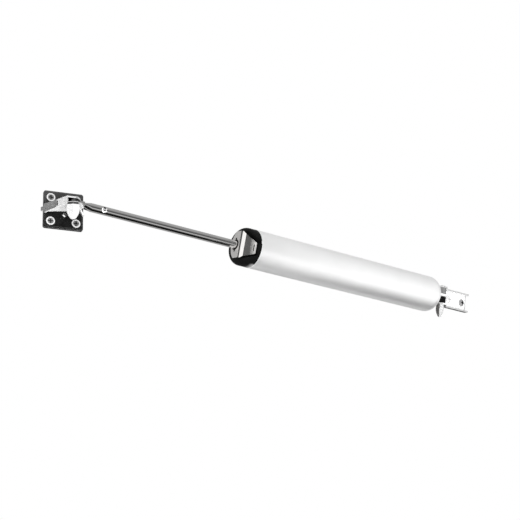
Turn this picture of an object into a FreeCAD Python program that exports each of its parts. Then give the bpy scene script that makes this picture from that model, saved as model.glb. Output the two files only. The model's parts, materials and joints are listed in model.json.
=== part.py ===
import FreeCAD, Part
import math
import os

from FreeCAD import Vector

# Pneumatic door closer, drawn with its rod out and its hold-open plate seated.
# The pieces are drawn from the middle of the jamb pin: +X runs along the rod to the tube's
# tail, +Z runs up the jamb pin, and the viewer's side is -Y. They are then moved together so
# that the origin is the middle of the jamb plate's back. All sizes are in millimetres.

# Rest pose
rim_x = 195.0            # jamb pin to the tube's front rim
jamb_yaw = 15.6          # the jamb bracket is turned this far about its pin
tube_roll = 14.0         # the tube and the door bracket are turned this far about the rod
cross_pin_roll = 14.0    # and so is the rod's cross pin
plate_tilt = 5.0         # slant of the cap's nose, and of the hold plate on it

# Clearances
slide_gap = 0.06         # radial clearance of a running fit
seat_gap = 0.05          # radial clearance of a seated piece
swing_gap = 0.3          # clearance beside a swinging piece
face_gap = 0.1           # clearance between faces that meet and part again

# Tube
tube_d = 38.1
tube_wall = 1.0
tube_length = 248.4
tube_corner_r = 13.0     # outer radius of the drawn tail

# Rod
rod_d = 8.0
rod_tail_d = 6.0         # reduced end that carries the piston
rod_tail_out = 1.5       # how far the reduced end stands out of the nut
tongue_t = 3.8
tongue_r = 5.0
neck_w = 8.8             # width of the flattened stretch behind the eye
tongue_blend = 8.0       # length of the change from flat to round
cross_pin_x = 29.0
cross_pin_d = 5.0
cross_pin_bore = 3.2
cross_pin_out = 0.6      # how far the cross pin stands out of the rod
cross_pin_slit = 0.9

# Connecting pins
pin_d = 4.4
pin_point = 1.2          # chamfer at the pin's top
pin_proud = 1.6          # how far the pin stands above the upper ear
pin_strip_t = 1.4        # the bent strip below the lower ear
pin_strip_in = 0.3       # the strip is this much narrower than the leaf's top at each side
leaf_t = 1.3             # the thumb leaf that hangs from the strip
leaf_lap = 0.8           # how far the leaf laps the ear above it
leaf_crease = 13.0       # each half of the leaf leans back this far
jamb_leaf_w = 11.4
jamb_leaf_top_w = 8.6
jamb_leaf_length = 16.2
jamb_leaf_turn = 239.0   # where the leaf stands round the jamb pin
door_leaf_w = 8.4
door_leaf_top_w = 6.8
door_leaf_length = 14.4
door_leaf_turn = 217.0   # where it stands round the door pin
blade_w = 6.0            # the narrow second leaf of the jamb pin
blade_top_w = 4.8
blade_length = 9.6
blade_splay = 24.0
blade_off = 5.4          # jamb pin to the blade

# Jamb bracket, measured from the pin in the plate's own directions
plate_side = 36.0
plate_t = 3.0
plate_corner_r = 2.0
plate_bevel = 1.4
plate_bevel_depth = 0.7
plate_front = 17.1       # pin to the plate's front face
plate_shift = 4.8        # the plate's middle lies this far left of the pin
diamond_side = 2.9       # square hole stood on its corner
diamond_right = 0.8      # its place from the plate's middle
diamond_down = 4.6
screw_pitch = 23.0       # the four screws stand on a square of this side
yoke_sheet = 1.5
ear_r = 8.8              # lower ear
upper_ear_r = 6.0
ear_root = 3.2           # the ears' back edge starts this far out along the web
web_off = 9.2            # pin to the outer face of the yoke's web
web_lean = 56.0          # angle between the web and the plate
web_past = 1.0           # the web runs on this far past the pin
web_root_h = 8.7         # the web's height at the plate
web_taper = 14.0         # length over which it narrows to the ears' height
tab_h = 4.0              # the web's foot, staked through the plate
slot_w = 1.6
slot_h = 5.0
slot_along = 15.2        # plate face to the slot, along the web

# Screws
screw_d = 4.0
screw_head_d = 7.8
screw_head_h = 2.3
screw_length = 13.0
screw_tip_d = 0.8
thread_deep = 0.3        # a screw's plain neck is this much slimmer than its thread, all round
neck_past = 0.3          # the neck runs on this far past the sheet
recess_w = 1.0
recess_reach = 4.4
recess_deep = 1.8

# Cap, bush and seals
cap_r_gap = 0.2          # the cap is this much smaller than the tube outside
cap_nose = 16.2          # rim to the middle of the slanted nose
cap_round = 8.0
cap_skirt = 16.0
cap_skirt_wall = 3.2
cap_floor = 3.0          # thickness of the cap behind the rim
cap_hub_wall = 3.0       # wall round the bush
bush_wall = 1.6
bush_length = 22.0
nose_gap = 0.4           # radial clearance of the rod in the cap's nose
seal_section = 2.2
seal_in = 5.0            # rim to the cap's ring groove

# Hold-open plate, x from the tube's rim and y from the rod's axis
hold_t = 2.0
hold_half_h = 13.3
hold_left = 6.9          # rod axis to the plate's rounded side
hold_left_rise = 5.9     # depth of that round
hold_right = 6.3         # rod axis to the first bend
hold_hole_d = 9.4
notch_reach = 7.0
notch_half = 1.15
bend_x = -14.0           # the second bend
bend_y = -9.3
bend_half_h = 11.2
bend_round = 1.0
leg_tip_x = -1.2
leg_tip_y = -11.2
leg_tip_h = 9.2
leg_slot_h = 6.4
leg_slot_w = 1.0
leg_slot_in = 3.0        # tip to the slot's far side
leg_room = 2.4           # room above and below the leg in the cap
leg_under = 0.8          # room behind it
leg_end_room = 0.9       # room past its tip

# Inside the tube
spring_rest = 50.0
spring_side_gap = 4.0    # room between the spring and the tube's bore
spring_wire = 2.4
spring_turns = 12
spring_seat_t = 2.0
spring_seat_side = 2.0   # room between the seat and the tube's bore
spring_seat_gap = 0.6    # and between the seat and the rod
piston_length = 9.0
piston_gap = 0.3
piston_edge = 0.8
piston_groove_in = 3.0
piston_groove_w = 3.0
piston_groove_deep = 1.6
cup_length = 8.0
cup_wall = 1.6
cup_edge = 1.0
cup_flare = 0.6          # the cup's wall is this much thicker at its floor
spreader_gap = 1.2
washer_d = 22.4
washer_t = 1.6
nut_side = 10.0
nut_corner = 2.9
nut_t = 5.0

# Tail
plug_t = 16.0
plug_ring_in = 0.9       # plug's inner face to its ring groove
tail_ring = 1.8
tang_t = 2.6
tang_w = 12.0
tang_pin_x = 12.0        # tube's end to the door pin
tang_up = 2.1            # the tang and the door bracket lie this far above the rod's axis
tang_inside = 6.5        # length of the tang's seat in the plug
tang_end_gap = 0.2
tang_rivet_d = 3.0
tang_rivet_length = 10.0
tang_rivet_in = 3.2      # tube's inner end face to the rivet
adjuster_d = 4.0
adjuster_off = 7.6       # rod axis to the adjusting screw
adjuster_out = 1.0
adjuster_slot_w = 0.8
adjuster_slot_deep = 0.9

# Door bracket, measured from the door pin
door_h = 20.4
door_sheet = 1.6
door_flange = 6.5
door_web = 8.4           # pin to the web's front face
door_web_start = 11.0    # pin to the web's near end
door_length = 45.5       # pin to the bracket's far end
door_ear_r = 5.8
door_bend_r = 1.4
door_bush_d = 9.6
door_screw_end = 6.2     # far end to the outer screw
door_screw_pitch = 20.5
door_screw_d = 4.2
door_screw_length = 8.0
door_head_d = 8.0
door_head_h = 2.2
door_recess_in = 0.4     # the recess stops this far short of the head's seat

# Worked out from the sizes above
tube_r = tube_d / 2
tube_bore_r = tube_r - tube_wall
tube_end_x = rim_x + tube_length
tube_floor_x = tube_end_x - tube_wall
rod_r = rod_d / 2
rod_bore_r = rod_r + slide_gap
tail_bore_r = rod_tail_d / 2 + slide_gap
pin_bore_r = pin_d / 2 + slide_gap
yoke_gap = tongue_t + 2 * swing_gap
yoke_h = yoke_gap + 2 * yoke_sheet
bush_seat_r = rod_bore_r + bush_wall
cap_inner_x = rim_x + cap_skirt
seat_x = cap_inner_x + spring_seat_t
piston_x = seat_x + spring_rest
cup_x = piston_x + piston_length
washer_x = cup_x + cup_length
nut_x = washer_x + washer_t
bush_x = cap_inner_x - bush_length
plug_x = tube_floor_x - plug_t
rivet_x = tube_floor_x - tang_rivet_in
door_x = tube_end_x + tang_pin_x
spring_r = tube_bore_r - spring_side_gap

X = Vector(1, 0, 0)
Y = Vector(0, 1, 0)
Z = Vector(0, 0, 1)
ORIGIN = Vector(0, 0, 0)


# Plain shapes


def rod_cylinder(r, x0, x1):
    """A cylinder on the rod's axis from x0 to x1."""
    return Part.makeCylinder(r, x1 - x0, Vector(x0, 0, 0), X)


def rod_ring(outer_r, inner_r, x0, x1):
    """A ring round the rod's axis from x0 to x1."""
    return rod_cylinder(outer_r, x0, x1).cut(rod_cylinder(inner_r, x0, x1))


def post(r, z0, z1, x=0.0, y=0.0):
    """An upright cylinder."""
    return Part.makeCylinder(r, z1 - z0, Vector(x, y, z0), Z)


def block(x0, x1, y0, y1, z0, z1):
    return Part.makeBox(x1 - x0, y1 - y0, z1 - z0, Vector(x0, y0, z0))


def face_of(points):
    """The flat face inside a closed run of straight sides."""
    return Part.Face(Part.makePolygon(points + [points[0]]))


def slab(points, z0, z1):
    """A flat piece with straight sides, given by its corners seen from above."""
    return face_of([Vector(x, y, z0) for x, y in points]).extrude(Vector(0, 0, z1 - z0))


def revolve(profile):
    """A turned piece: profile lists (x, r) round the rod's axis."""
    return face_of([Vector(x, 0, r) for x, r in profile]).revolve(ORIGIN, X, 360)


def beside(path, gap):
    """The path's parallel at this distance on its left, with mitred corners."""
    normals = []
    for (x0, y0), (x1, y1) in zip(path, path[1:]):
        length = math.hypot(x1 - x0, y1 - y0)
        normals.append(((y0 - y1) / length, (x1 - x0) / length))
    result = []
    for (x, y), (ax, ay), (bx, by) in zip(path, normals[:1] + normals, normals + normals[-1:]):
        share = gap / (1 + ax * bx + ay * by)
        result.append((x + (ax + bx) * share, y + (ay + by) * share))
    return result


def touch_point(r, x, y, side):
    """Where a line from (x, y) touches the circle of radius r about the pin."""
    angle = math.atan2(y, x) + side * math.acos(r / math.hypot(x, y))
    return (r * math.cos(angle), r * math.sin(angle))


def round_edges(shape, low_x, high_x):
    """The circular edges whose middle lies between two places along the rod."""
    return [
        e for e in shape.Edges
        if isinstance(e.Curve, Part.Circle) and low_x < e.CenterOfMass.x < high_x
    ]


def upright_edges(shape, x, y):
    """The edges parallel to Z that stand at one place."""
    found = []
    for edge in shape.Edges:
        ends = [edge.Vertexes[0].Point, edge.Vertexes[-1].Point]
        if all(math.hypot(p.x - x, p.y - y) < 1e-6 for p in ends):
            found.append(edge)
    return found


def turned(shape, axis, degrees, centre=ORIGIN):
    copy = shape.copy()
    copy.rotate(centre, axis, degrees)
    return copy


def moved(shape, x=0.0, y=0.0, z=0.0):
    copy = shape.copy()
    copy.translate(Vector(x, y, z))
    return copy


def in_jamb(shape):
    """From the jamb plate's own directions to the rod's."""
    return turned(shape, Z, -jamb_yaw)


def in_tube(shape):
    """From the tube's own directions to the rod's."""
    return turned(shape, X, tube_roll)


def on_nose(shape):
    """Slanted like the cap's nose, about the nose's middle."""
    return turned(shape, Y, plate_tilt, Vector(rim_x - cap_nose, 0, 0))


def in_door(shape):
    """From the door bracket's own directions, measured from its pin, to the rod's."""
    return in_tube(moved(shape, x=door_x, z=tang_up))


# Connecting pins


def leaf_outline(top_w, wide, length):
    """A leaf's face in the XZ plane: its top at z = 0 and its round tip at -length."""
    top = Vector(top_w / 2, 0, 0)
    side = Vector(wide / 2, 0, -0.40 * length)
    low = Vector(0.24 * wide, 0, -0.90 * length)
    tip = Vector(0, 0, -length)

    def left(p):
        return Vector(-p.x, 0, p.z)

    edges = [
        Part.Arc(top, side, low).toShape(),
        Part.Arc(low, tip, left(low)).toShape(),
        Part.Arc(left(low), left(side), left(top)).toShape(),
        Part.LineSegment(left(top), top).toShape(),
    ]
    return Part.Face(Part.Wire(edges))


def creased_leaf(top_w, wide, length):
    """The thumb leaf, its crease standing out toward -Y and its upper end at leaf_lap."""
    outline = moved(leaf_outline(top_w, wide, length + leaf_lap), y=-wide, z=leaf_lap)
    prism = outline.extrude(Vector(0, 2 * wide, 0))
    back = wide * math.tan(math.radians(leaf_crease))
    fold = [(-wide, back), (0, 0), (wide, back)]
    section = fold + [(x, y + leaf_t) for x, y in reversed(fold)]
    return prism.common(slab(section, -2 * length, 2 * leaf_lap))


def connecting_pin(low_z, high_z, ear_reach, leaf):
    """A pull-out pin: its shank, and the strip below the lower ear that ends in the leaf."""
    low = low_z - face_gap
    shank = post(pin_d / 2, low - pin_strip_t, high_z + pin_proud)
    tip = [e for e in shank.Edges if isinstance(e.Curve, Part.Circle) and e.CenterOfMass.z > high_z]
    shank = shank.makeChamfer(pin_point, tip)
    half = leaf[0] / 2 - pin_strip_in
    reach = ear_reach + swing_gap
    strip = block(-half, half, -reach, 0, low - pin_strip_t, low).fuse(post(half, low - pin_strip_t, low))
    return shank.fuse([strip, moved(creased_leaf(*leaf), y=-reach - leaf_t, z=low)])


def side_blade():
    """The jamb pin's narrow second leaf, splayed outward at its tip, on its arm."""
    blade = leaf_outline(blade_top_w, blade_w, blade_length).extrude(Vector(0, leaf_t, 0))
    blade = moved(turned(blade, X, -blade_splay), y=-blade_off)
    half = blade_top_w / 2
    arm = block(-half, half, -blade_off, 0, -pin_strip_t, 0)
    return turned(blade.fuse(arm), Z, 90)


def jamb_pin():
    low = -yoke_h / 2
    leaf = (jamb_leaf_top_w, jamb_leaf_w, jamb_leaf_length)
    pin = connecting_pin(low, yoke_h / 2, ear_r, leaf)
    pin = pin.fuse(moved(side_blade(), z=low - face_gap)).removeSplitter()
    return turned(pin, Z, jamb_leaf_turn + 90)


def door_pin():
    leaf = (door_leaf_top_w, door_leaf_w, door_leaf_length)
    pin = connecting_pin(-door_h / 2, door_h / 2, door_ear_r, leaf).removeSplitter()
    return in_door(turned(pin, Z, door_leaf_turn + 90))


# Jamb bracket


def plate_centre():
    """The middle of the plate's front face."""
    return Vector(-plate_shift, plate_front, 0)


def screw_places():
    """The four screw axes on the plate's front face, from the upper left."""
    half = screw_pitch / 2
    centre = plate_centre()
    return [centre + Vector(dx, 0, dz) for dx, dz in ((-half, half), (half, half), (-half, -half), (half, -half))]


def countersink(place):
    """The hole for one countersunk screw, entered from -Y."""
    head = Part.makeCone(screw_head_d / 2 + seat_gap, screw_d / 2 + seat_gap, screw_head_h, place, Y)
    return head.fuse(Part.makeCylinder(screw_d / 2 + seat_gap, 2 * plate_t, place, Y))


def web_frame(shape):
    """From the web's own directions (x along it, away from the plate) to the plate's."""
    return turned(shape, Z, -web_lean)


def web_point(x, y):
    point = web_frame(Part.Vertex(x, y, 0)).Point
    return (point.x, point.y)


def web_start():
    """Where the web's outer face meets the plate's front, along the web."""
    lean = math.radians(web_lean)
    return -(plate_front + web_off * math.cos(lean)) / math.sin(lean)


def jamb_plate():
    centre = plate_centre()
    half = plate_side / 2
    plate = block(-half, half, 0, plate_t, -half, half)
    corners = [e for e in plate.Edges if abs(e.Vertexes[0].Y - e.Vertexes[-1].Y) > plate_t / 2]
    plate = plate.makeFillet(plate_corner_r, corners)
    front = [e for e in plate.Edges if max(abs(v.Y) for v in e.Vertexes) < 1e-6]
    plate = plate.makeChamfer(plate_bevel_depth, plate_bevel, front)
    plate.translate(centre)
    for place in screw_places():
        plate = plate.cut(countersink(place))
    half = diamond_side / 2
    hole = turned(block(-half, half, -1, plate_t + 1, -half, half), Y, 45)
    hole.translate(centre + Vector(diamond_right, 0, -diamond_down))
    return in_jamb(plate.cut(hole).cut(web_tab(seat_gap)))


def web_tab(grow):
    """The web's foot, which goes through the plate and is staked flush with its back."""
    start = web_start()
    reach = plate_t / math.sin(math.radians(web_lean)) + yoke_sheet
    half = tab_h / 2 + grow
    foot = web_frame(block(start - reach, start + reach, -web_off - grow, -web_off + yoke_sheet + grow, -half, half))
    room = block(-plate_side, plate_side, plate_front - yoke_sheet, plate_front + plate_t, -half, half)
    return foot.common(room)


def yoke_ear(r, z0, z1):
    """One ear: round at the pin, with a straight side back to the plate and one to the web."""
    start = web_start()
    root = web_point(start + ear_root, -web_off + yoke_sheet)
    outer_root = web_point(start + ear_root, -web_off)
    outer_end = web_point(web_past, -web_off)
    back = touch_point(r, *root, -1)
    front = touch_point(r, *outer_end, 1)
    flat = slab([root, outer_root, outer_end, front, (0, 0), back], z0, z1)
    return flat.fuse(post(r, z0, z1)).removeSplitter()


def yoke_web():
    """The leaning web, a little taller where it meets the plate."""
    start = web_start() - yoke_sheet
    outline = [
        (start, web_root_h / 2),
        (start + web_taper, yoke_h / 2),
        (web_past, yoke_h / 2),
    ]
    outline += [(x, -z) for x, z in reversed(outline)]
    side = face_of([Vector(x, -web_off, z) for x, z in outline])
    web = web_frame(side.extrude(Vector(0, yoke_sheet, 0)))
    in_front = block(-plate_side, plate_side, -plate_side, plate_front, -web_root_h, web_root_h)
    return web.common(in_front)


def jamb_yoke():
    half = yoke_h / 2
    ears = [yoke_ear(upper_ear_r, half - yoke_sheet, half), yoke_ear(ear_r, -half, -half + yoke_sheet)]
    yoke = yoke_web().fuse(ears + [web_tab(0)]).removeSplitter()
    slot_x = web_start() + slot_along
    window = block(slot_x, slot_x + slot_w, -web_off - 1, -web_off + yoke_sheet + 1, -slot_h / 2, slot_h / 2)
    yoke = yoke.cut(web_frame(window)).cut(post(pin_bore_r, -yoke_h, yoke_h))
    return in_jamb(yoke)


def screw(place):
    """A countersunk cross-recessed screw driven toward +Y."""
    head = Part.makeCone(screw_head_d / 2, screw_d / 2 - thread_deep, screw_head_h, place, Y)
    body = head.fuse(screw_shank(place, screw_d, plate_t, screw_length))
    return body.cut(cross_recess(place, -1, recess_deep)).removeSplitter()


def screw_shank(place, d, sheet, length):
    """A plain neck through the sheet, then the thread's outside and its point."""
    neck = sheet + neck_past
    return [
        Part.makeCylinder(d / 2 - thread_deep, neck, place, Y),
        Part.makeCylinder(d / 2, length - neck, place + Vector(0, neck, 0), Y),
        Part.makeCone(d / 2, screw_tip_d / 2, d / 2, place + Vector(0, length, 0), Y),
    ]


def cross_recess(place, y0, y1):
    """A cross-shaped recess between two depths behind the given place."""
    half = recess_reach / 2
    bar = block(-half, half, y0, y1, -recess_w / 2, recess_w / 2)
    cross = bar.fuse(turned(bar, Y, 90))
    cross.translate(place)
    return cross


def jamb_screws():
    return {f"jamb_screw_{n}": in_jamb(screw(place)) for n, place in enumerate(screw_places(), 1)}


# Rod


def rod():
    """The round rod with its flattened eye, its cross hole and its reduced tail."""
    round_x = ear_r + swing_gap
    half_t = tongue_t / 2
    neck = block(0, round_x, -neck_w / 2, neck_w / 2, -half_t, half_t)
    flat = Part.Ellipse(ORIGIN, neck_w / 2, half_t).toShape()
    flat.rotate(ORIGIN, Vector(1, 1, 1), 120)
    flat.translate(Vector(round_x - 1, 0, 0))
    whole = Part.Circle(Vector(round_x + tongue_blend, 0, 0), X, rod_r).toShape()
    blend = Part.makeLoft([Part.Wire(flat), Part.Wire(whole)], True, True)
    body = post(tongue_r, -half_t, half_t).fuse([
        neck,
        blend,
        rod_cylinder(rod_r, round_x + tongue_blend, piston_x),
        rod_cylinder(rod_tail_d / 2, piston_x, nut_x + nut_t + rod_tail_out),
    ])
    body = body.removeSplitter().cut(post(pin_bore_r, -tongue_t, tongue_t))
    hole = Part.makeCylinder(cross_pin_d / 2, 2 * rod_d, Vector(cross_pin_x, -rod_d, 0), Y)
    return body.cut(turned(hole, X, cross_pin_roll))


def cross_pin():
    """A slit spring pin through the rod."""
    half = rod_r + cross_pin_out
    base = Vector(cross_pin_x, -half, 0)
    pin = Part.makeCylinder(cross_pin_d / 2, 2 * half, base, Y)
    pin = pin.cut(Part.makeCylinder(cross_pin_bore / 2, 2 * half, base, Y))
    slit = cross_pin_slit / 2
    pin = pin.cut(block(cross_pin_x, cross_pin_x + cross_pin_d, -half, half, -slit, slit))
    return turned(pin, X, cross_pin_roll)


def rod_nut():
    half = nut_side / 2
    nut = block(nut_x, nut_x + nut_t, -half, half, -half, half)
    sides = [e for e in nut.Edges if abs(e.Vertexes[0].X - e.Vertexes[-1].X) > nut_t / 2]
    nut = nut.makeChamfer(nut_corner, sides)
    return nut.cut(rod_cylinder(rod_tail_d / 2 + seat_gap, nut_x, nut_x + nut_t))


def rod_washer():
    """The large washer between the nut and the cup."""
    return rod_ring(washer_d / 2, rod_tail_d / 2 + seat_gap, washer_x, nut_x)


# Piston, which turns on the rod's reduced tail


def piston():
    r = tube_bore_r - piston_gap
    body = rod_cylinder(r, piston_x, cup_x)
    body = body.makeChamfer(piston_edge, round_edges(body, piston_x - 1, cup_x + 1))
    groove_x = piston_x + piston_groove_in
    groove = rod_ring(r + 1, r - piston_groove_deep, groove_x, groove_x + piston_groove_w)
    return body.cut(groove).cut(rod_cylinder(tail_bore_r, piston_x, cup_x))


def piston_cup():
    """The cup seal, open toward the tail."""
    r = tube_bore_r - slide_gap
    floor = cup_x + cup_wall
    return revolve([
        (cup_x, tail_bore_r),
        (cup_x, r - cup_edge),
        (cup_x + cup_edge, r),
        (washer_x, r),
        (washer_x, r - cup_wall),
        (floor, r - cup_wall - cup_flare),
        (floor, tail_bore_r),
    ])


def cup_spreader():
    """The pressed disc that keeps the cup open."""
    r = tube_bore_r - slide_gap - cup_wall - cup_flare - spreader_gap / 2
    return rod_ring(r, tail_bore_r, cup_x + cup_wall + seat_gap, washer_x - face_gap)


# Tube


def tube():
    """A drawn tube with a round-cornered closed tail, slotted for the tang."""
    outer = rod_cylinder(tube_r, rim_x, tube_end_x)
    outer = outer.makeFillet(tube_corner_r, round_edges(outer, tube_end_x - 1, tube_end_x + 1))
    inner = rod_cylinder(tube_bore_r, rim_x - 1, tube_floor_x)
    inner = inner.makeFillet(tube_corner_r - tube_wall, round_edges(inner, tube_floor_x - 1, tube_floor_x + 1))
    return in_tube(outer.cut(inner).cut(tang_room()).cut(adjuster_hole()))


def tang_room():
    """The slot that the tang stands in, through the tube's end and into the plug."""
    half_w = tang_w / 2 + seat_gap
    half_t = tang_t / 2 + seat_gap
    low = tang_up - half_t
    return block(tube_floor_x - tang_inside, tube_end_x + 1, -half_w, half_w, low, low + 2 * half_t)


def adjuster_hole():
    base = Vector(plug_x + adjuster_d / 2, 0, -adjuster_off)
    return Part.makeCylinder(adjuster_d / 2 + seat_gap, plug_t + tube_wall, base, X)


def cap_nose_body():
    """The slanted, rounded nose in front of the rim."""
    nose = rod_cylinder(tube_r - cap_r_gap, rim_x - 2 * cap_nose, rim_x)
    cutter = turned(block(-4 * cap_nose, 0, -tube_d, tube_d, -tube_d, tube_d), Y, plate_tilt)
    nose = nose.cut(moved(cutter, x=rim_x - cap_nose))
    front = [e for e in nose.Edges if e.CenterOfMass.x < rim_x - cap_nose / 2 and not isinstance(e.Curve, Part.Line)]
    return nose.makeFillet(cap_round, front)


def front_cap():
    """The plastic cap: a skirt inside the tube, a hub for the bush and the nose."""
    skirt = rod_ring(tube_bore_r - seat_gap, tube_bore_r - cap_skirt_wall, rim_x, cap_inner_x)
    floor = rod_cylinder(tube_bore_r - cap_skirt_wall, rim_x, rim_x + cap_floor)
    hub = rod_cylinder(bush_seat_r + cap_hub_wall, rim_x, cap_inner_x)
    groove_x = rim_x + seal_in
    groove = rod_ring(tube_r, tube_bore_r - seal_section - seat_gap, groove_x, groove_x + seal_section)
    cap = cap_nose_body().fuse([skirt, floor, hub]).cut(groove)
    cap = cap.cut(rod_cylinder(rod_r + nose_gap, rim_x - 2 * cap_nose, bush_x))
    cap = cap.cut(rod_cylinder(bush_seat_r, bush_x, cap_inner_x))
    return in_tube(cap.cut(leg_pocket()).removeSplitter())


def leg_pocket():
    """The opening in the cap's near side that the hold plate's leg stands in."""
    front_x = rim_x - 2 * cap_nose
    far_x = rim_x + leg_tip_x + leg_end_room
    first, second, last = beside(hold_path(), hold_t + leg_under)[1:]
    back = [(front_x, first[1]), first, second, (far_x, last[1]), (far_x, -tube_d), (front_x, -tube_d)]
    pocket = slab(back, -tube_r, tube_r)
    outline = [
        (front_x, hold_half_h + leg_room),
        (rim_x + bend_x, bend_half_h + leg_room),
        (far_x, leg_tip_h / 2 + leg_room),
    ]
    outline += [(x, -z) for x, z in reversed(outline)]
    room = face_of([Vector(x, 0, z) for x, z in outline]).extrude(Vector(0, -tube_d, 0))
    return on_nose(pocket.common(room))


def seal_ring(section, x):
    """A round-section ring seated against the tube's bore."""
    ring_r = section / 2 - seat_gap
    return in_tube(Part.makeTorus(tube_bore_r - 2 * seat_gap - ring_r, ring_r, Vector(x, 0, 0), X))


def cap_seal():
    return seal_ring(seal_section, rim_x + seal_in + seal_section / 2)


def rod_bush():
    """The plain bearing that the rod slides in."""
    return in_tube(rod_ring(bush_seat_r - seat_gap, rod_bore_r, bush_x, cap_inner_x))


def spring_seat():
    """The washer between the cap and the spring."""
    outer_r = tube_bore_r - spring_seat_side
    return in_tube(rod_ring(outer_r, rod_bore_r + spring_seat_gap, cap_inner_x, seat_x))


def return_spring():
    """The closing spring, drawn squeezed between its seat and the piston."""
    wire_r = spring_wire / 2
    middle_r = spring_r - wire_r
    height = spring_rest - spring_wire - 2 * face_gap
    helix = Part.makeHelix(height / spring_turns, height, middle_r)
    circle = Part.Wire(Part.Circle(Vector(middle_r, 0, 0), Y, wire_r).toShape())
    coil = Part.Wire(helix.Edges).makePipeShell([circle], True, True)
    return moved(turned(coil, Y, 90), x=seat_x + wire_r + face_gap)


# Hold-open plate


def hold_path():
    """The bent plate's outer side, seen from above."""
    front_x = rim_x - cap_nose - face_gap - hold_t
    return [
        (front_x, hold_left),
        (front_x, -hold_right),
        (rim_x + bend_x, bend_y),
        (rim_x + leg_tip_x, leg_tip_y),
    ]


def hold_plate():
    """The bent plate that grips the rod when it tilts, with a tapering leg to tap."""
    path = hold_path()
    front_x = path[0][0]
    tip_x = path[-1][0]
    strip = slab(path + list(reversed(beside(path, hold_t))), -hold_half_h, hold_half_h)
    bends = upright_edges(strip, *path[1]) + upright_edges(strip, *path[2])
    strip = strip.makeFillet(bend_round, bends)
    plate = strip.common(hold_front_outline(front_x)).common(hold_side_outline(front_x, tip_x))
    plate = plate.cut(rod_cylinder(hold_hole_d / 2, front_x - 1, front_x + hold_t + 1))
    for side in (1, -1):
        plate = plate.cut(hold_notch(front_x, side))
    slot_x = tip_x - leg_slot_in
    slot = block(slot_x, slot_x + leg_slot_w, -tube_d, -hold_right, -leg_slot_h / 2, leg_slot_h / 2)
    return in_tube(on_nose(plate.cut(slot)))


def hold_front_outline(front_x):
    """The plate's outline along the rod: square toward the leg and rounded opposite."""
    high = Vector(front_x, hold_left - hold_left_rise, hold_half_h)
    low = Vector(front_x, hold_left - hold_left_rise, -hold_half_h)
    far_high = Vector(front_x, -tube_r, hold_half_h)
    far_low = Vector(front_x, -tube_r, -hold_half_h)
    edges = [
        Part.Arc(high, Vector(front_x, hold_left, 0), low).toShape(),
        Part.LineSegment(low, far_low).toShape(),
        Part.LineSegment(far_low, far_high).toShape(),
        Part.LineSegment(far_high, high).toShape(),
    ]
    return Part.Face(Part.Wire(edges)).extrude(Vector(tube_d, 0, 0))


def hold_side_outline(front_x, tip_x):
    """The plate's outline from the leg's side: the leg narrows to its tip."""
    outline = [
        (front_x, hold_half_h),
        (front_x + hold_t, hold_half_h),
        (rim_x + bend_x, bend_half_h),
        (tip_x + hold_t, leg_tip_h / 2),
    ]
    outline += [(x, -z) for x, z in reversed(outline)]
    return face_of([Vector(x, -tube_d, z) for x, z in outline]).extrude(Vector(0, 2 * tube_d, 0))


def hold_notch(front_x, side):
    """A wedge notch that runs from the hole toward the plate's upper or lower edge."""
    wedge = face_of([
        Vector(front_x - 1, 0, 0),
        Vector(front_x - 1, notch_half, side * notch_reach),
        Vector(front_x - 1, -notch_half, side * notch_reach),
    ])
    return wedge.extrude(Vector(hold_t + 2, 0, 0))


# Tail


def tail_plug():
    """The plug inside the tail that holds the tang and the adjusting screw."""
    r = tube_bore_r - seat_gap
    body = rod_cylinder(r, plug_x, tube_floor_x)
    body = body.makeFillet(tube_corner_r - tube_wall, round_edges(body, tube_floor_x - 1, tube_floor_x + 1))
    groove_x = plug_x + plug_ring_in
    body = body.cut(rod_ring(tube_r, tube_bore_r - tail_ring - seat_gap, groove_x, groove_x + tail_ring))
    half = tang_rivet_length / 2 + face_gap
    rivet_hole = post(tang_rivet_d / 2 + seat_gap, tang_up - half, tang_up + half, rivet_x)
    return in_tube(body.cut(tang_room()).cut(adjuster_hole()).cut(rivet_hole))


def tail_seal():
    return seal_ring(tail_ring, plug_x + plug_ring_in + tail_ring / 2)


def tail_tang():
    """The flat tang that carries the door pin."""
    half = tang_t / 2
    x0 = tube_floor_x - tang_inside + tang_end_gap
    tang = block(x0, door_x, -tang_w / 2, tang_w / 2, -half, half)
    tang = tang.fuse(post(tang_w / 2, -half, half, door_x)).removeSplitter()
    tang = tang.cut(post(pin_bore_r, -tang_t, tang_t, door_x))
    tang = tang.cut(post(tang_rivet_d / 2 + seat_gap, -tang_t, tang_t, rivet_x))
    return in_tube(moved(tang, z=tang_up))


def tang_rivet():
    """The cross rivet that holds the tang in the plug."""
    half = tang_rivet_length / 2
    return in_tube(post(tang_rivet_d / 2, tang_up - half, tang_up + half, rivet_x))


def adjusting_screw():
    """The slotted screw that sets the closing speed."""
    x0 = plug_x + plug_t / 2
    x1 = tube_end_x + adjuster_out
    body = Part.makeCylinder(adjuster_d / 2, x1 - x0, Vector(x0, 0, -adjuster_off), X)
    half = adjuster_slot_w / 2
    slot = block(x1 - adjuster_slot_deep, x1, -adjuster_d, adjuster_d, -adjuster_off - half, -adjuster_off + half)
    return in_tube(body.cut(slot))


# Door bracket


def door_bracket():
    """A channel whose flanges grow into two ears round the door pin."""
    back = door_web + door_sheet
    half = door_h / 2
    web = block(door_web_start, door_length, door_web, back, -half, half)
    upper = door_flange_piece(half - door_sheet, half)
    lower = door_flange_piece(-half, -half + door_sheet)
    body = web.fuse([upper, lower]).removeSplitter()
    run = (door_length - door_web_start) / 2
    bends = [
        e for e in body.Edges
        if abs(e.Vertexes[0].X - e.Vertexes[-1].X) > run and min(v.Y for v in e.Vertexes) > back - 1e-3
    ]
    body = body.makeFillet(door_bend_r, bends)
    body = body.cut(post(pin_bore_r, -door_h, door_h))
    for place in door_screw_places():
        body = body.cut(Part.makeCylinder(door_screw_d / 2 + seat_gap, 2 * door_sheet, place, Y))
    return in_door(body)


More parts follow.
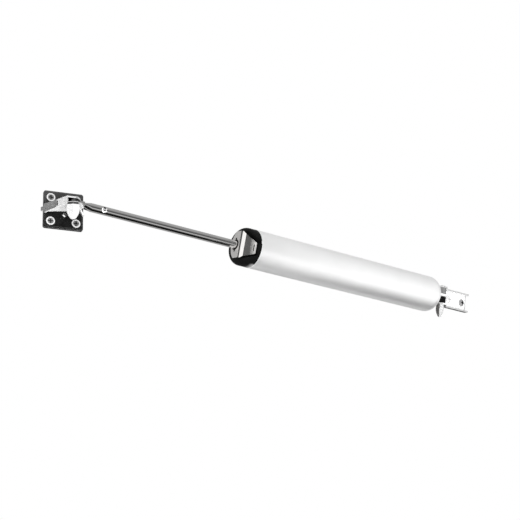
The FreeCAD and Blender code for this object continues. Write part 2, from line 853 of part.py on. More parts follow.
def door_screw_places():
    """The two screw axes on the web's front face, measured from the door pin."""
    outer_x = door_length - door_screw_end
    return [Vector(x, door_web, 0) for x in (outer_x, outer_x - door_screw_pitch)]


def door_flange_piece(z0, z1):
    """One flange with its ear, seen from above."""
    back = door_web + door_sheet
    front = back - door_flange
    outline = [
        touch_point(door_ear_r, door_web_start, back, 1),
        (0, 0),
        touch_point(door_ear_r, door_web_start, front, -1),
        (door_web_start, front),
        (door_length, front),
        (door_length, back),
        (door_web_start, back),
    ]
    return slab(outline, z0, z1).fuse(post(door_ear_r, z0, z1)).removeSplitter()


def door_bushes():
    """The two spacers that fill the room between the tang and the ears."""
    inner = tang_t / 2 + face_gap
    outer = door_h / 2 - door_sheet - face_gap
    bush = post(door_bush_d / 2, inner, outer).cut(post(pin_bore_r, inner, outer))
    return {
        "door_bush_upper": in_door(bush),
        "door_bush_lower": in_door(moved(bush, z=-inner - outer)),
    }


def door_screw(place):
    """A round-headed cross-recessed screw driven toward +Y."""
    head_r = door_head_d / 2
    ball_r = (head_r ** 2 + door_head_h ** 2) / (2 * door_head_h)
    ball = Part.makeSphere(ball_r, place + Vector(0, ball_r - door_head_h, 0))
    head = ball.common(Part.makeCylinder(head_r, door_head_h, place, Y * -1))
    body = head.fuse(screw_shank(place, door_screw_d, door_sheet, door_screw_length))
    return body.cut(cross_recess(place, -door_head_h - 1, -door_recess_in)).removeSplitter()


def door_screws():
    return {
        f"door_screw_{n}": in_door(door_screw(place))
        for n, place in enumerate(door_screw_places(), 1)
    }


# The whole part


def all_pieces():
    """Every piece by its name, measured from the jamb pin."""
    pieces = {
        "jamb_plate": jamb_plate(),
        "jamb_yoke": jamb_yoke(),
        "jamb_pin": jamb_pin(),
        "rod": rod(),
        "cross_pin": cross_pin(),
        "rod_nut": rod_nut(),
        "rod_washer": rod_washer(),
        "piston": piston(),
        "piston_cup": piston_cup(),
        "cup_spreader": cup_spreader(),
        "tube": tube(),
        "front_cap": front_cap(),
        "cap_seal": cap_seal(),
        "rod_bush": rod_bush(),
        "spring_seat": spring_seat(),
        "return_spring": return_spring(),
        "hold_plate": hold_plate(),
        "tail_plug": tail_plug(),
        "tail_seal": tail_seal(),
        "tail_tang": tail_tang(),
        "tang_rivet": tang_rivet(),
        "adjusting_screw": adjusting_screw(),
        "door_bracket": door_bracket(),
        "door_pin": door_pin(),
    }
    pieces.update(jamb_screws())
    pieces.update(door_bushes())
    pieces.update(door_screws())
    return pieces


def mount_centre():
    """The middle of the jamb plate's back, measured from the jamb pin."""
    back = plate_centre() + Vector(0, plate_t, 0)
    return in_jamb(Part.Vertex(back)).Point


def main():
    os.makedirs("parts", exist_ok=True)
    shift = mount_centre() * -1
    for name, shape in all_pieces().items():
        if len(shape.Solids) != 1 or not shape.isValid():
            print("check", name, "solids", len(shape.Solids), "valid", shape.isValid())
        solid = shape.Solids[0]
        solid.translate(shift)
        solid.exportStep(f"parts/{name}.step")


main()
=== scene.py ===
import json
import math

import bmesh
import bpy
from mathutils import Matrix, Vector


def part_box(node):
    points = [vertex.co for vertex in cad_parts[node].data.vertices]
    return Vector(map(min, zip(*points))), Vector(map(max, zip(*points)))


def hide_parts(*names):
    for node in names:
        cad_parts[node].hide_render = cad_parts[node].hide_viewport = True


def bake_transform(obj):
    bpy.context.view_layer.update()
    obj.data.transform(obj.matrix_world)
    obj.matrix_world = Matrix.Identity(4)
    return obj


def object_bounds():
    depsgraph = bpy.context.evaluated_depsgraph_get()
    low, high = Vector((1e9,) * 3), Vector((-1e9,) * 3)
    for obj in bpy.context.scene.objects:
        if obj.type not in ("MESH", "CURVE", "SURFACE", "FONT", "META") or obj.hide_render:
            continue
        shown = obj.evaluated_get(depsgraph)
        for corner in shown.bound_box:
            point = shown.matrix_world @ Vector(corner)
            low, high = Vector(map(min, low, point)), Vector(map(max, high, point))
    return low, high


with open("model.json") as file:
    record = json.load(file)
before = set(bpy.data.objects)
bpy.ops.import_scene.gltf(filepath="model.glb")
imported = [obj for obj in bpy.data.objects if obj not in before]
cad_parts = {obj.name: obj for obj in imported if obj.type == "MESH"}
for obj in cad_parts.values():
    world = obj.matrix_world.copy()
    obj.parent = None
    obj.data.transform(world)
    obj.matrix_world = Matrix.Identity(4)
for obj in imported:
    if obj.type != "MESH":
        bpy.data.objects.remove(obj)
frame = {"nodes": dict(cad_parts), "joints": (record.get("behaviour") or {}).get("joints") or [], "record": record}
cad_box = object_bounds()

nodes = frame["nodes"]
joint_places = {j["name"]: Vector(j["pos_m"]) for j in frame["joints"] if "pos_m" in j}
jamb_pin = joint_places["jamb_pivot"]
door_pin = joint_places["door_pivot"]
rod_axis = joint_places["rod_turn"]

# Directions
along = Vector((1, 0, 0))
sideways = Vector((0, 1, 0))
up = Vector((0, 0, 1))
mounts = {m["name"]: m for m in frame["record"]["mounts"]}
jamb_outward = -Vector(mounts["jamb_back"]["axis"])
door_outward = -Vector(mounts["door_back"]["axis"])
door_up = Vector((0, door_outward.z, -door_outward.y))          # along the door pin
strap_front = Vector((jamb_outward.y, -jamb_outward.x, 0))      # how the yoke's strap faces
plate_front = Vector((-1.0, -0.02, 0.08)).normalized()          # how the hold plate faces
# The way the cap's lower side faces, where a pale reflection is painted
cap_painted_sheen_side = Vector((-0.10, 0.05, -1))

# Places from the jamb pin, where a finish or its painted light and shade begins to change and where the change
# ends
strap_crease = (0.0086, 0.0074)     # along Y, to the duller side of the crease, where the strap's painted light begins
leaf_fold_shade = (-0.0058, -0.0052, -0.0036, -0.0030)    # along Z, in and out of the painted shade on the leaf's fold
rod_flat = (0.0050, 0.0030)         # along X, to the flattened end, darkened as painted shade
leg_painted_light = (0.1775, 0.2035)          # along X, to the leg's end, where painted light makes it paler
plate_paler_top = (-0.008, 0.024)        # along Z, to the paler top
ear_step = 0.001                    # along Z, to the ear above or below, for the painted light underneath and the painted shade between the ears

# The same from the face, edge or pin that each belongs to
# How far the cap's painted reflection reaches in from the tube's rim
cap_painted_sheen_length = 0.006
plate_bend_reflection = (-0.0016, -0.0013, -0.0004, -0.0002)   # in from the plate's front, the painted dark reflection beside the first bend
plate_hole_shadow = (0.0058, 0.0048)  # from the middle of the hole, the painted shadow round the rod
head_rim_depth = 0.0004
head_inner = (0.84, 0.58)           # shares of a screw head's radius, where its painted shade begins and is full
bracket_cut = (-0.0006, -0.0003, 0.0003, 0.0006)    # about the flanges' cut edges, the painted shade lines there
bracket_end = (-0.0015, -0.0011)    # in from the far end, the painted shade line there
bracket_end_depth = 0.002           # the flanges' reach is read this near to the far end
bracket_ear = (0.005, 0.004)        # along X, from the door pin, the painted shade beside the upper ear
flange_step = 0.002                 # from the bracket's middle to the flange above or below

# How the shared nodes read a surface
noise_range = (0.3, 0.7)            # where most of a noise texture lies
tone_range = (0.32, 0.68)
edge_range = (0.995, 0.90)
hollow_range = (0.86, 0.52)
bevel_samples = 6
hollow_samples = 12

# The closing spring
spring_wire_r = 0.0012
spring_turns = 12
turn_steps = 24
wire_sides = 10

# The camera, from the jamb pin
camera_from_pin = Vector((-0.4898, -0.8764, -0.4768))
camera_azimuth = -38.45
camera_elevation = -22.66
camera_roll = -2.87
camera_lens = 86.4
camera_sensor = 36.0

# The room
floor_z = -0.62
floor_size = 9.0
world_strength = 0.45
lamps = [
    # name, place from the middle of the object, size, watts
    ("lamp_front", (-0.7, -1.6, -0.1), (1.2, 0.9), 17.0),
    ("lamp_top", (0.1, -0.2, 1.6), (2.0, 1.2), 18.0),
    ("lamp_low", (-0.3, -0.5, -0.55), (0.8, 0.4), 7.0),
]

# The tent that gloss reflects, in zones along the rod's axis. Each has its ends, from the jamb
# pin, and its bands: degrees above the viewer's side, and how bright the tent is there. The
# comment beside it says what reflects it.
tent_radius = 0.5
tent_sides = 72
tent_zones = [
    (-3.0, -0.67, [                 # the yoke's strap
        (-180, 0.90), (-60, 0.90), (0, 0.95), (44, 0.90), (54, 0.07), (150, 0.07), (168, 0.90),
        (180, 0.90),
    ]),
    (-0.67, 0.06, [                 # the jamb pin's leaf and the hold plate
        (-180, 1.0), (0, 1.0), (60, 1.0), (100, 0.60), (130, 0.44), (156, 0.44), (180, 1.0),
    ]),
    (0.06, 0.50, [                  # the rod
        (-180, 0.47), (-140, 0.54), (-122, 0.60), (-116, 0.01), (-60, 0.01), (-52, 0.25),
        (-46, 0.66), (-28, 0.78), (-16, 0.14), (2, 0.10), (16, 0.26), (34, 0.46), (52, 0.56),
        (80, 0.56), (108, 0.58), (152, 0.50), (180, 0.47),
    ]),
    (0.50, 0.53, [                  # the rod near the cap
        (-180, 0.50), (-122, 0.50), (-116, 0.01), (-60, 0.01), (-40, 0.06), (10, 0.07),
        (34, 0.12), (52, 0.28), (80, 0.50), (180, 0.50),
    ]),
    (0.53, 0.63, [                  # the tube's left part
        (-180, 0.32), (-150, 0.22), (-125, 0.26), (-100, 0.76), (-76, 1.2), (-50, 1.2),
        (-30, 1.05), (10, 0.88), (60, 0.72), (100, 0.64), (125, 0.74), (150, 0.78),
        (168, 0.38), (180, 0.32),
    ]),
    (0.63, 2.6, [                   # the rest of the tube
        (-180, 0.46), (-150, 0.50), (-128, 0.06), (-100, 0.04), (-80, 0.42), (-60, 0.92),
        (-40, 1.08), (10, 0.96), (60, 0.70), (100, 0.55), (125, 0.72), (150, 0.90),
        (168, 0.46), (180, 0.46),
    ]),
]


# Nodes that the finishes share


def grey(value, warm=0.0):
    return (value * (1 + warm), value, value * (1 - warm))


class Look:
    """A material being built, with short ways to add the nodes that finishes share."""

    def __init__(self, name):
        self.material = bpy.data.materials.new(name)
        self.material.use_nodes = True
        self.tree = self.material.node_tree
        self.shader = self.tree.nodes["Principled BSDF"]
        own = self.add("ShaderNodeTexCoord")
        self.place = own.outputs["Object"]
        self.normal = own.outputs["Normal"]

    def add(self, kind, **settings):
        node = self.tree.nodes.new(kind)
        for key, value in settings.items():
            setattr(node, key, value)
        return node

    def link(self, source, target):
        self.tree.links.new(source, target)

    def combined(self, operation, first, second):
        """One sum over two values."""
        node = self.add("ShaderNodeMath", operation=operation)
        self.link(first, node.inputs[0])
        self.link(second, node.inputs[1])
        return node.outputs[0]

    def either(self, first, second):
        return self.combined("MAXIMUM", first, second)

    def product(self, first, second):
        return self.combined("MULTIPLY", first, second)

    def mapped(self, value, before, after=(0.0, 1.0), kind="LINEAR"):
        """A value, taken from one range to another and held at its ends."""
        node = self.add("ShaderNodeMapRange", interpolation_type=kind)
        node.inputs["From Min"].default_value = before[0]
        node.inputs["From Max"].default_value = before[1]
        node.inputs["To Min"].default_value = after[0]
        node.inputs["To Max"].default_value = after[1]
        self.link(value, node.inputs["Value"])
        return node.outputs["Result"]

    def between(self, value, low, high):
        """A noise or a share, spread from low to high."""
        return self.mapped(value, noise_range, (low, high))

    def eased(self, value, start, end):
        """0 at start and 1 at end, with a soft step between. The end may be the lower one."""
        return self.mapped(value, (start, end), kind="SMOOTHSTEP")

    def stretched(self, scale):
        mapping = self.add("ShaderNodeMapping")
        mapping.inputs["Scale"].default_value = scale
        self.link(self.place, mapping.inputs["Vector"])
        return mapping.outputs["Vector"]

    def noise(self, scale, detail=4.0, stretch=(1, 1, 1)):
        """A noise that rides on the object, finer where the scale is greater."""
        texture = self.add("ShaderNodeTexNoise")
        texture.inputs["Scale"].default_value = scale
        texture.inputs["Detail"].default_value = detail
        self.link(self.stretched(stretch), texture.inputs["Vector"])
        return texture.outputs["Fac"]

    def ramp(self, value, stops):
        """Colour from a value, by stops of position and colour."""
        node = self.add("ShaderNodeValToRGB")
        points = node.color_ramp.elements
        while len(points) < len(stops):
            points.new(0.5)
        for point, (position, color) in zip(points, stops):
            point.position = position
            point.color = (*color, 1.0)
        self.link(value, node.inputs["Fac"])
        return node.outputs["Color"]

    def rounded(self, radius):
        """The surface's normal with its sharp edges rounded."""
        bevel = self.add("ShaderNodeBevel")
        bevel.samples = bevel_samples
        bevel.inputs["Radius"].default_value = radius
        return bevel.outputs["Normal"]

    def relief(self, height, distance, edge=0.0002):
        """A bump over softly rounded edges."""
        bump = self.add("ShaderNodeBump")
        bump.inputs["Strength"].default_value = 1.0
        bump.inputs["Distance"].default_value = distance
        self.link(height, bump.inputs["Height"])
        self.link(self.rounded(edge), bump.inputs["Normal"])
        self.link(bump.outputs["Normal"], self.shader.inputs["Normal"])

    def edges(self, radius):
        """1 along sharp edges, falling to 0 on open faces."""
        surface = self.add("ShaderNodeNewGeometry")
        agree = self.add("ShaderNodeVectorMath", operation="DOT_PRODUCT")
        self.link(self.rounded(radius), agree.inputs[0])
        self.link(surface.outputs["Normal"], agree.inputs[1])
        return self.mapped(agree.outputs["Value"], edge_range)

    def hollows(self, reach):
        """1 deep in recesses, falling to 0 on open faces."""
        shade = self.add("ShaderNodeAmbientOcclusion")
        shade.samples = hollow_samples
        shade.inputs["Distance"].default_value = reach
        return self.mapped(shade.outputs["AO"], hollow_range)

    def span(self, direction, start, end):
        """0 before start and 1 past end, in metres along a direction."""
        reached = self.add("ShaderNodeVectorMath", operation="DOT_PRODUCT")
        reached.inputs[1].default_value = direction
        self.link(self.place, reached.inputs[0])
        return self.eased(reached.outputs["Value"], start, end)

    def stripe(self, direction, origin, places):
        """1 between the middle two of four places along a direction, and 0 past the outer two."""
        low, full, fading, high = (origin + place for place in places)
        return self.product(self.span(direction, low, full), self.span(direction, high, fading))

    def away(self, center, start, end):
        """0 at start and 1 at end, in metres from a place."""
        gap = self.add("ShaderNodeVectorMath", operation="DISTANCE")
        gap.inputs[1].default_value = center
        self.link(self.place, gap.inputs[0])
        return self.eased(gap.outputs["Value"], start, end)

    def facing(self, direction, start, end):
        """0 on faces turned from a direction and 1 on those turned to it, by their cosine."""
        agree = self.add("ShaderNodeVectorMath", operation="DOT_PRODUCT")
        agree.inputs[1].default_value = direction.normalized()
        self.link(self.normal, agree.inputs[0])
        return self.eased(agree.outputs["Value"], start, end)

    def tone(self, value, dark, light, *over):
        """Base colour between two tones, with other colours where the given shares are 1."""
        color = self.ramp(value, list(zip(tone_range, (dark, light))))
        for share, other in over:
            mix = self.add("ShaderNodeMix", data_type="RGBA")
            self.link(share, mix.inputs[0])
            self.link(color, mix.inputs["A"])
            mix.inputs["B"].default_value = (*other, 1.0)
            color = mix.outputs["Result"]
        self.link(color, self.shader.inputs["Base Color"])

    def gloss(self, value, low, high):
        """Roughness, from low to high."""
        self.link(self.between(value, low, high), self.shader.inputs["Roughness"])

    def metal(self, share, low, high):
        """Metallic, from low to high."""
        self.link(self.between(share, low, high), self.shader.inputs["Metallic"])

    def plated(self, low, high):
        """The roughness and the fine grain of plated steel."""
        self.gloss(self.noise(500, 4), low, high)
        self.relief(self.noise(1200, 3), 0.00001)

    def moulded(self):
        """The roughness and the fine grain of moulded plastic."""
        self.gloss(self.noise(420, 3), 0.34, 0.46)
        self.relief(self.noise(2600, 2), 0.00002, edge=0.0003)

    def set(self, **sockets):
        """Whole-surface constants, by the shader's socket names."""
        for name, value in sockets.items():
            self.shader.inputs[name.replace("_", " ")].default_value = value


# Finishes, some with light and shade painted into them


def tube_enamel():
    """Satin silver on the tube, with a painted highlight along its edges that shows bright at its rim."""
    look = Look("tube_enamel")
    # Painted highlight: the tube's edges are brightened.
    look.tone(look.noise(38, 5), grey(0.91), grey(0.94), (look.edges(0.0012), grey(0.99)))
    look.gloss(look.noise(160, 3), 0.30, 0.38)
    look.relief(look.noise(900, 2), 0.000012, edge=0.0008)
    look.set(Metallic=0.75)
    return look.material


def plain_plastic(name, shade):
    look = Look(name)
    look.tone(look.noise(120, 4), grey(shade), grey(shade * 1.7))
    look.moulded()
    look.set(Specular_IOR_Level=0.05)
    return look.material


def cap_plastic():
    """Black plastic on the cap, with a painted pale reflection below, beside the tube's rim."""
    look = Look("cap_plastic")
    rim = min(v.co.x for v in nodes["tube"].data.vertices)
    # Painted reflection: pale on the cap's lower side, next to the tube's rim.
    below = look.facing(cap_painted_sheen_side, 0.93, 0.985)
    painted_sheen = look.product(below, look.span(along, rim - cap_painted_sheen_length, rim))
    look.tone(look.noise(120, 4), grey(0.004), grey(0.007), (painted_sheen, grey(0.30)))
    look.moulded()
    look.set(Specular_IOR_Level=0.02)
    return look.material


def rod_steel():
    """Bright rod with fine streaks along it, and painted shade that darkens its flattened end."""
    look = Look("rod_steel")
    streaks = look.noise(1500, 3, stretch=(0.04, 1, 1))
    flat_end_shade = look.span(along, jamb_pin.x + rod_flat[0], jamb_pin.x + rod_flat[1])
    # Painted shade: the flattened end is darkened.
    look.tone(streaks, grey(0.56, 0.01), grey(0.62, 0.01), (flat_end_shade, grey(0.09)))
    look.gloss(look.noise(70, 4), 0.08, 0.17)
    look.relief(streaks, 0.000004)
    look.set(Metallic=1.0)
    return look.material


def spring_steel():
    look = Look("spring_steel")
    grain = look.noise(1500, 3)
    look.tone(grain, grey(0.38, 0.01), grey(0.42, 0.01))
    look.gloss(look.noise(70, 4), 0.30, 0.39)
    look.relief(grain, 0.000004)
    look.set(Metallic=1.0)
    return look.material


def zinc(name, shade, rough, metal):
    """Plated steel, slightly clouded."""
    look = Look(name)
    look.tone(look.noise(260, 5), grey(shade * 0.90, 0.005), grey(shade, 0.005))
    look.plated(rough - 0.06, rough + 0.09)
    look.set(Metallic=metal)
    return look.material


def yoke_zinc():
    """Zinc on the yoke: mirror-like on its ears and near the plate, and paler and duller on the
    strap past its crease and underneath, made so with less metal as painted light; the strap there
    is also toned darker as painted shade. Painted shade darkens the faces that look down between
    the ears, and a painted highlight brightens the edges."""
    look = Look("yoke_zinc")
    low = look.facing(-up, 0.5, 0.9)
    under = look.product(low, look.span(up, jamb_pin.z, jamb_pin.z - ear_step))
    # Painted shade: faces that look down between the ears are darkened.
    between_ears_shade = look.product(low, look.span(up, jamb_pin.z, jamb_pin.z + ear_step))
    # Painted light: the strap past its crease and the underside get less metal so they read pale, and the strap is
    # toned darker as painted shade.
    past = look.span(sideways, jamb_pin.y + strap_crease[0], jamb_pin.y + strap_crease[1])
    strap = look.product(past, look.facing(strap_front, 0.50, 0.75))
    # Painted highlight: the yoke's edges are brightened.
    look.tone(
        look.noise(260, 5), grey(0.80), grey(0.93), (strap, grey(0.72)),
        (between_ears_shade, grey(0.06)), (look.edges(0.0005), grey(0.98)),
    )
    look.metal(look.either(strap, under), 0.95, 0.15)
    look.plated(0.16, 0.30)
    return look.material


def jamb_pin_zinc():
    """Pale zinc on the jamb pin, with painted shade: dark where the leaf is folded under the yoke, and grey along
    its edges.
    """
    look = Look("jamb_pin_zinc")
    # Painted shade: a dark band on the leaf below the yoke, and grey along the edges.
    fold_shade = look.stripe(up, jamb_pin.z, leaf_fold_shade)
    look.tone(
        look.noise(260, 5), grey(0.66), grey(0.74),
        (fold_shade, grey(0.04)), (look.edges(0.0004), grey(0.50)),
    )
    look.plated(0.26, 0.40)
    look.set(Metallic=0.35)
    return look.material


def door_pin_zinc():
    """Bright zinc on the door pin, with painted shade: dark on the flank beside the tube, and grey along its
    edges.
    """
    look = Look("door_pin_zinc")
    flank_shade = look.facing(-along, 0.74, 0.84)
    streaks = look.noise(700, 3, stretch=(1, 1, 0.2))
    # Painted shade: dark on the flank beside the tube, and grey along the edges.
    look.tone(
        streaks, grey(0.78), grey(0.90),
        (flank_shade, grey(0.13, 0.02)), (look.edges(0.0004), grey(0.45)),
    )
    look.gloss(look.noise(500, 4), 0.20, 0.34)
    look.relief(streaks, 0.00001)
    look.set(Metallic=0.6)
    return look.material


def head_face(node, outward):
    """The middle of a screw head's outer face, and the head's radius there."""
    points = [v.co for v in nodes[node].data.vertices]
    reach = max(p.dot(outward) for p in points)
    rim = [p for p in points if p.dot(outward) > reach - head_rim_depth]
    center = sum(rim, Vector()) / len(rim)
    return center, max((p - center).length for p in rim)


def screw_zinc(node, outward, shade=0.84, inner_shade=0.22, metal=0.55):
    """A screw's zinc: bright toward its rim, and dark toward and in its recess, as painted shade."""
    look = Look(f"zinc_{node}")
    center, radius = head_face(node, outward)
    recess_shade = look.away(center, radius * head_inner[0], radius * head_inner[1])
    # Painted shade: dark toward the middle of the head and in the recess.
    look.tone(
        look.noise(260, 5), grey(shade * 0.90), grey(shade),
        (recess_shade, grey(shade * inner_shade)), (look.hollows(0.0016), grey(0.006)),
    )
    look.plated(0.30, 0.42)
    look.set(Metallic=metal, Specular_IOR_Level=0.2)
    return look.material


def nickel():
    """Brushed nickel plate, with a painted dark reflection beside its first bend, a painted
    shadow round the rod's hole, and painted light toward the leg's end, where less metal makes it paler.
    """
    look = Look("nickel")
    brushed = look.noise(1400, 3, stretch=(1, 1, 0.05))
    leg_end_light = look.span(along, jamb_pin.x + leg_painted_light[0], jamb_pin.x + leg_painted_light[1])
    reach = max(v.co.dot(plate_front) for v in nodes["hold_plate"].data.vertices)
    bend_reflection = look.stripe(plate_front, reach, plate_bend_reflection)
    hole = Vector((reach / plate_front.x, rod_axis.y, rod_axis.z))
    # Painted reflection: dark beside the first bend. Painted shadow: dark round the rod's hole.
    look.tone(
        brushed, grey(0.88, 0.02), grey(0.98, 0.02), (bend_reflection, grey(0.07, 0.02)),
        (look.away(hole, *plate_hole_shadow), grey(0.01)),
        (look.hollows(0.0025), (0.06, 0.045, 0.035)),
    )
    # Painted light: less metal toward the leg's end, so it reads paler.
    look.metal(leg_end_light, 1.0, 0.50)
    look.gloss(look.noise(300, 3), 0.12, 0.20)
    look.relief(brushed, 0.000005, edge=0.0003)
    return look.material


def plate_enamel():
    """Black enamel on the jamb plate, a little paler toward its top and at its edges."""
    look = Look("plate_enamel")
    paler_top = look.span(up, jamb_pin.z + plate_paler_top[0], jamb_pin.z + plate_paler_top[1])
    look.tone(
        look.noise(140, 5), grey(0.004), grey(0.009),
        (paler_top, grey(0.050)), (look.edges(0.0008), grey(0.20)),
    )
    look.gloss(look.noise(300, 3), 0.30, 0.42)
    look.relief(look.noise(1500, 2), 0.000016, edge=0.0006)
    look.set(Specular_IOR_Level=0.12)
    return look.material


def white_enamel():
    """White enamel on the door bracket, with painted shade: grey lines at the flanges' cut edges, at
    its far end and beside the upper ear, dark under the lower flange, and grey along its edges."""
    look = Look("white_enamel")
    points = [v.co for v in nodes["door_bracket"].data.vertices]
    far_x = max(p.x for p in points)
    reach = max(p.dot(door_outward) for p in points if p.x > far_x - bracket_end_depth)
    cut = look.stripe(door_outward, reach, bracket_cut)
    end = look.span(along, far_x + bracket_end[0], far_x + bracket_end[1])
    middle = door_pin.dot(door_up)
    low = look.span(door_up, middle, middle - flange_step)
    under = look.product(look.facing(-door_up, 0.5, 0.9), low)
    high = look.span(door_up, middle, middle + flange_step)
    near_pin = look.span(along, door_pin.x + bracket_ear[0], door_pin.x + bracket_ear[1])
    ear = look.product(look.facing(-door_up, 0.4, 0.2), look.product(near_pin, high))
    outline_shade = look.either(look.either(cut, end), ear)
    # Painted shade: grey lines at the cut edges, the far end, beside the upper ear and along the edges, and dark
    # under the lower flange.
    look.tone(
        look.noise(90, 5), grey(0.89), grey(0.93),
        (outline_shade, grey(0.45)), (under, grey(0.03)), (look.edges(0.0005), grey(0.55)),
    )
    look.gloss(look.noise(260, 3), 0.28, 0.38)
    look.relief(look.noise(1200, 2), 0.00001, edge=0.0003)
    return look.material


def sintered_bronze():
    look = Look("sintered_bronze")
    look.tone(look.noise(2200, 2), (0.36, 0.24, 0.10), (0.58, 0.41, 0.19))
    look.gloss(look.noise(900, 3), 0.40, 0.60)
    look.relief(look.noise(2600, 2), 0.00002)
    look.set(Metallic=1.0)
    return look.material


def seal_rubber():
    look = Look("seal_rubber")
    look.tone(look.noise(500, 3), grey(0.014), grey(0.026))
    look.gloss(look.noise(700, 3), 0.52, 0.68)
    look.relief(look.noise(2400, 2), 0.00002)
    return look.material


def cast_aluminium():
    look = Look("cast_aluminium")
    rings = look.noise(1400, 2, stretch=(1, 0.05, 0.05))
    look.tone(rings, grey(0.52), grey(0.64))
    look.gloss(look.noise(500, 3), 0.34, 0.46)
    look.relief(rings, 0.00001)
    look.set(Metallic=1.0)
    return look.material


def dress(material, *names):
    """Gives CAD nodes their finish."""
    for name in names:
        node = nodes[name]
        node.data.materials.clear()
        node.data.materials.append(material)


def dress_screw(name, outward, **settings):
    dress(screw_zinc(name, outward, **settings), name)


def dress_nodes():
    dress(tube_enamel(), "tube")
    dress(cap_plastic(), "front_cap")
    dress(plain_plastic("black_plastic", 0.004), "door_bush_lower")
    dress(plain_plastic("grey_plastic", 0.16), "door_bush_upper")
    dress(rod_steel(), "rod")
    dress(yoke_zinc(), "jamb_yoke")
    dress(jamb_pin_zinc(), "jamb_pin")
    dress(door_pin_zinc(), "door_pin")
    # Painted highlight: door_screw_2 takes the pale zinc for its glare.
    dress(zinc("white_zinc", shade=0.90, rough=0.30, metal=0.35), "tail_tang", "door_screw_2")
    dress(
        zinc("dull_zinc", shade=0.55, rough=0.36, metal=1.0),
        "rod_nut", "rod_washer", "cup_spreader", "spring_seat", "tang_rivet", "adjusting_screw",
    )
    for n in (1, 2, 3, 4):
        dress_screw(f"jamb_screw_{n}", jamb_outward)
    # Painted highlight and shade: the cross pin's end is bright with little metal, round a dark middle.
    dress_screw("cross_pin", -sideways, shade=0.98, inner_shade=0.02, metal=0.1)
    # Painted shade: door_screw_1 is a darker copy of the screw zinc.
    dress_screw("door_screw_1", door_outward, shade=0.40)
    dress(nickel(), "hold_plate")
    dress(plate_enamel(), "jamb_plate")
    dress(white_enamel(), "door_bracket")
    dress(cast_aluminium(), "piston", "tail_plug")
    dress(seal_rubber(), "piston_cup", "cap_seal", "tail_seal")
    dress(sintered_bronze(), "rod_bush")


# The closing spring


def link_object(name, data):
    obj = bpy.data.objects.new(name, data)
    bpy.context.scene.collection.objects.link(obj)
    return obj


def coil_point(share, angle, ends, coil_r):
    """A point on the wire, by how far along the coil it is and where round the wire."""
    turn = 2 * math.pi * spring_turns * share
    outward = Vector((0, math.cos(turn), math.sin(turn)))
    center = ends[0].lerp(ends[1], share) + outward * coil_r
    return center + (outward * math.cos(angle) + along * math.sin(angle)) * spring_wire_r


def coil_faces(rings):
    """Quads round the wire from ring to ring, and a cap at each end."""
    faces = []
    for n in range(rings):
        here = n * wire_sides
        for side in range(wire_sides):
            after = (side + 1) % wire_sides
            faces.append((
                here + side, here + after, here + wire_sides + after, here + wire_sides + side,
            ))
    faces.append(tuple(reversed(range(wire_sides))))
    faces.append(tuple(range(rings * wire_sides, (rings + 1) * wire_sides)))
    return faces


def build_spring():
    """The closing spring as a mesh between its seat and the piston."""
    low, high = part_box("return_spring")
    middle = (low + high) / 2
    coil_r = (high[2] - low[2]) / 2 - spring_wire_r
    ends = [
        Vector((x, middle[1], middle[2]))
        for x in (low[0] + spring_wire_r, high[0] - spring_wire_r)
    ]
    rings = spring_turns * turn_steps
    points = [
        coil_point(n / rings, 2 * math.pi * side / wire_sides, ends, coil_r)
        for n in range(rings + 1) for side in range(wire_sides)
    ]
    mesh = bpy.data.meshes.new("closing_spring")
    mesh.from_pydata(points, [], coil_faces(rings))
    shape = bmesh.new()
    shape.from_mesh(mesh)
    bmesh.ops.recalc_face_normals(shape, faces=shape.faces)
    shape.to_mesh(mesh)
    shape.free()
    mesh.shade_smooth()
    spring = link_object("closing_spring", mesh)
    spring.data.materials.append(spring_steel())
    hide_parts("return_spring")
    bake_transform(spring)


# Room, lights and camera


def any_ray(tree, *kinds):
    """1 for rays of the given kinds, 0 for the rest."""
    path = tree.nodes.new("ShaderNodeLightPath")
    seen = path.outputs[kinds[0]]
    for kind in kinds[1:]:
        either = tree.nodes.new("ShaderNodeMath")
        either.operation = "MAXIMUM"
        tree.links.new(seen, either.inputs[0])
        tree.links.new(path.outputs[kind], either.inputs[1])
        seen = either.outputs[0]
    return seen


def mix_shaders(tree, share, first, second, output):
    """Shows the first shader, and the second one where the share is 1."""
    mix = tree.nodes.new("ShaderNodeMixShader")
    tree.links.new(share, mix.inputs["Fac"])
    tree.links.new(first, mix.inputs[1])
    tree.links.new(second, mix.inputs[2])
    tree.links.new(mix.outputs["Shader"], output.inputs["Surface"])


def room_white():
    """A pale floor that the camera and metal see as plain white."""
    look = Look("room_white")
    look.tone(look.noise(3, 2), grey(0.80), grey(0.82))
    look.gloss(look.noise(6, 2), 0.70, 0.80)
    glow = look.add("ShaderNodeEmission")
    mix_shaders(
        look.tree, any_ray(look.tree, "Is Camera Ray", "Is Glossy Ray"),
        look.shader.outputs["BSDF"], glow.outputs["Emission"],
        look.tree.nodes["Material Output"],
    )
    return look.material


def build_floor():
    half = floor_size / 2
    corners = [(-half, -half), (half, -half), (half, half), (-half, half)]
    mesh = bpy.data.meshes.new("floor")
    mesh.from_pydata([(*corner, floor_z) for corner in corners], [], [(0, 1, 2, 3)])
    floor = link_object("floor", mesh)
    floor.data.materials.append(room_white())


def tent_glow(name, bands):
    """A tent's light: its bands, by the angle round the rod's axis."""
    look = Look(name)
    split = look.add("ShaderNodeSeparateXYZ")
    look.link(look.place, split.inputs["Vector"])
    toward = look.add("ShaderNodeMath", operation="MULTIPLY")
    toward.inputs[1].default_value = -1.0
    look.link(split.outputs["Y"], toward.inputs[0])
    angle = look.combined("ARCTAN2", split.outputs["Z"], toward.outputs[0])
    share = look.mapped(angle, (-math.pi, math.pi))
    stops = [((degrees + 180) / 360, grey(level)) for degrees, level in bands]
    glow = look.add("ShaderNodeEmission")
    look.link(look.ramp(share, stops), glow.inputs["Color"])
    look.link(glow.outputs["Emission"], look.tree.nodes["Material Output"].inputs["Surface"])
    return look.material


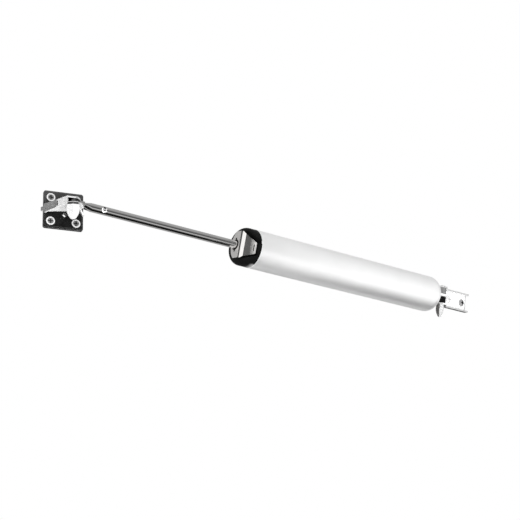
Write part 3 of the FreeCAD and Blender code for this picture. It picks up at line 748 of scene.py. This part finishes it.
def build_tent(name, start, end, bands):
    """One zone of the tent, which shows only in gloss."""
    points = []
    for x in (start, end):
        for n in range(tent_sides):
            turn = 2 * math.pi * n / tent_sides
            points.append((x, tent_radius * math.cos(turn), tent_radius * math.sin(turn)))
    faces = []
    for n in range(tent_sides):
        after = (n + 1) % tent_sides
        faces.append((n, after, tent_sides + after, tent_sides + n))
    mesh = bpy.data.meshes.new(name)
    mesh.from_pydata(points, [], faces)
    tent = link_object(name, mesh)
    tent.location = jamb_pin
    tent.data.materials.append(tent_glow(name, bands))
    tent.visible_camera = False
    tent.visible_diffuse = False
    tent.visible_transmission = False
    tent.visible_shadow = False


def background(tree, strength):
    node = tree.nodes.new("ShaderNodeBackground")
    node.inputs["Color"].default_value = (1, 1, 1, 1)
    node.inputs["Strength"].default_value = strength
    return node.outputs["Background"]


def build_world():
    """Soft even light, which the camera, metal and glass see as plain white."""
    world = bpy.data.worlds.new("studio")
    bpy.context.scene.world = world
    world.use_nodes = True
    tree = world.node_tree
    tree.nodes.clear()
    mix_shaders(
        tree, any_ray(tree, "Is Camera Ray", "Is Glossy Ray", "Is Transmission Ray"),
        background(tree, world_strength), background(tree, 1.0),
        tree.nodes.new("ShaderNodeOutputWorld"),
    )


def build_lamp(name, offset, size, power):
    """A soft square lamp that faces the middle of the object and doesn't show in gloss."""
    lamp = bpy.data.lights.new(name, "AREA")
    lamp.shape = "RECTANGLE"
    lamp.size, lamp.size_y = size
    lamp.energy = power
    obj = link_object(name, lamp)
    low, high = cad_box
    obj.location = (low + high) / 2 + Vector(offset)
    obj.rotation_euler = (-Vector(offset)).to_track_quat("-Z", "Y").to_euler()
    obj.visible_glossy = False


def build_camera():
    azimuth = math.radians(camera_azimuth)
    elevation = math.radians(camera_elevation)
    forward = Vector((
        -math.sin(azimuth) * math.cos(elevation),
        math.cos(azimuth) * math.cos(elevation),
        -math.sin(elevation),
    ))
    level = Vector((math.cos(azimuth), math.sin(azimuth), 0))
    right = Matrix.Rotation(math.radians(camera_roll), 3, -forward) @ level
    data = bpy.data.cameras.new("camera")
    data.lens = camera_lens
    data.sensor_width = camera_sensor
    camera = link_object("camera", data)
    turn = Matrix((right, right.cross(forward), -forward)).transposed().to_4x4()
    camera.matrix_world = Matrix.Translation(jamb_pin + camera_from_pin) @ turn
    bpy.context.scene.camera = camera


def main():
    dress_nodes()
    build_spring()
    build_floor()
    for n, zone in enumerate(tent_zones):
        build_tent(f"tent_{n}", *zone)
    build_world()
    for lamp in lamps:
        build_lamp(*lamp)
    build_camera()
    bpy.context.scene.view_settings.view_transform = "Standard"


main()
